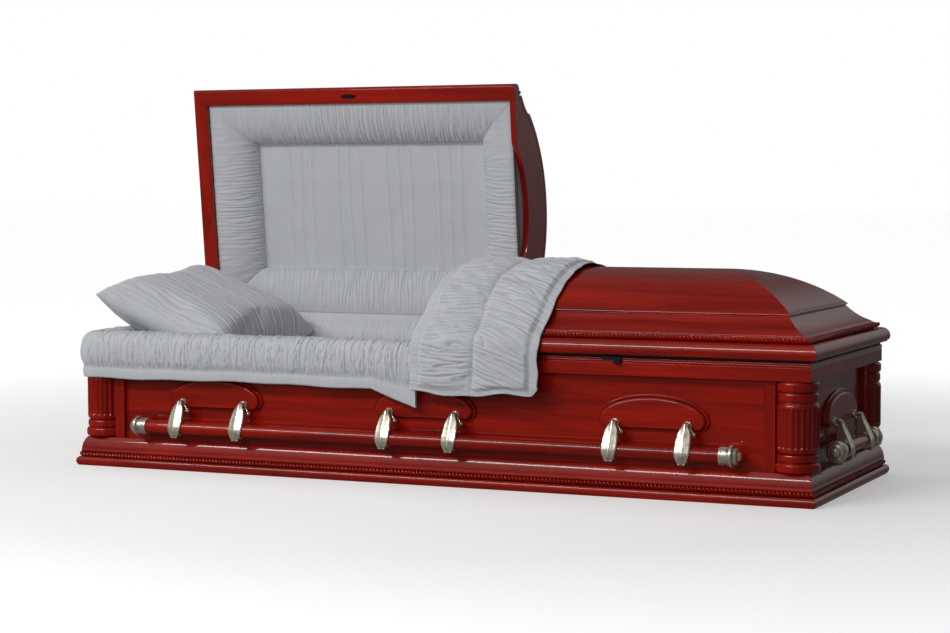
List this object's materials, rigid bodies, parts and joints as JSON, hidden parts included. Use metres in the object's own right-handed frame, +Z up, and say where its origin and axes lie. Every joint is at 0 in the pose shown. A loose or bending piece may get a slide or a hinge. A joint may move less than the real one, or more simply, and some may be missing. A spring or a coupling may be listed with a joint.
{
  "type": "funeral casket",
  "caption": "Half-couch wooden casket with fluted corner posts, a domed two-part hinged lid, white shirred bedding and swing-bar handles.",
  "frame": {"origin": "centre of the case's underside, on the floor", "axes": "+X towards the foot end, -Y towards the front, where the lids open, +Z up"},
  "size_m": [2.188, 0.9084, 1.0657],
  "materials": {
    "red_lacquered_wood": "high-gloss red cherry lacquer",
    "floor_wood": "dark red lacquer",
    "white_crepe": "white shirred crepe",
    "mattress_cloth": "white plain cloth",
    "antique_brass": "polished antique brass plate",
    "black_iron": "black lacquered",
    "black_rubber": "matt black"
  },
  "bodies": {
    "case": {"floor_board": "floor_wood", "side_board_front": "red_lacquered_wood", "side_board_back": "red_lacquered_wood", "end_board_foot": "red_lacquered_wood", "end_board_head": "red_lacquered_wood", "base_moulding": "red_lacquered_wood", "base_rope": "red_lacquered_wood", "top_rail": "red_lacquered_wood", "corner_post_front_foot": "red_lacquered_wood", "corner_post_front_head": "red_lacquered_wood", "corner_post_back_foot": "red_lacquered_wood", "corner_post_back_head": "red_lacquered_wood", "rail_gasket": "black_rubber", "mattress": "mattress_cloth", "wall_lining": "white_crepe", "extendover": "white_crepe", "pillow": "white_crepe", "rail_latch": "black_iron", "hinge_head": "antique_brass", "hinge_foot": "antique_brass", "handle_plate_front_1": "red_lacquered_wood", "handle_plate_front_2": "red_lacquered_wood", "handle_plate_front_3": "red_lacquered_wood", "handle_plate_back_1": "red_lacquered_wood", "handle_plate_back_2": "red_lacquered_wood", "handle_plate_back_3": "red_lacquered_wood", "handle_plate_foot": "red_lacquered_wood", "handle_plate_head": "red_lacquered_wood"},
    "front_bar": {"bar_front": "red_lacquered_wood", "arm_front_1": "antique_brass", "arm_front_2": "antique_brass", "arm_front_3": "antique_brass", "arm_front_4": "antique_brass", "arm_front_5": "antique_brass", "arm_front_6": "antique_brass"},
    "back_bar": {"bar_back": "red_lacquered_wood", "arm_back_1": "antique_brass", "arm_back_2": "antique_brass", "arm_back_3": "antique_brass", "arm_back_4": "antique_brass", "arm_back_5": "antique_brass", "arm_back_6": "antique_brass"},
    "foot_bar": {"bar_foot": "red_lacquered_wood", "arm_foot_1": "antique_brass", "arm_foot_2": "antique_brass"},
    "head_bar": {"bar_head": "red_lacquered_wood", "arm_head_1": "antique_brass", "arm_head_2": "antique_brass"},
    "head_lid": {"head_lid_top": "red_lacquered_wood", "head_lid_rim": "red_lacquered_wood", "head_lid_rope": "red_lacquered_wood", "head_lid_header": "red_lacquered_wood", "head_lid_roll": "white_crepe", "head_lid_panel": "white_crepe", "head_lid_catch": "black_iron"},
    "foot_lid": {"foot_lid_top": "red_lacquered_wood", "foot_lid_rim": "red_lacquered_wood", "foot_lid_rope": "red_lacquered_wood", "foot_lid_header": "red_lacquered_wood", "throw": "white_crepe"}
  },
  "joints": [
    {"name": "head_lid_close", "type": "hinge", "parent": "case", "child": "head_lid", "pos_m": [0, 0.35, 0.357], "axis": [1, 0, 0], "range_deg": [0, 84], "deforming": ["pillow", "extendover", "throw", "wall_lining"]},
    {"name": "foot_lid_open", "type": "hinge", "parent": "case", "child": "foot_lid", "pos_m": [0, 0.35, 0.357], "axis": [-1, 0, 0], "range_deg": [0, 84]},
    {"name": "front_bar_swing", "type": "hinge", "parent": "case", "child": "front_bar", "pos_m": [0, -0.346, 0.186], "axis": [-1, 0, 0], "range_deg": [0, 70]},
    {"name": "back_bar_swing", "type": "hinge", "parent": "case", "child": "back_bar", "pos_m": [0, 0.346, 0.186], "axis": [1, 0, 0], "range_deg": [0, 70]},
    {"name": "foot_bar_swing", "type": "hinge", "parent": "case", "child": "foot_bar", "pos_m": [1.051, 0, 0.186], "axis": [0, -1, 0], "range_deg": [0, 70]},
    {"name": "head_bar_swing", "type": "hinge", "parent": "case", "child": "head_bar", "pos_m": [-1.051, 0, 0.186], "axis": [0, 1, 0], "range_deg": [0, 70]}
  ]
}
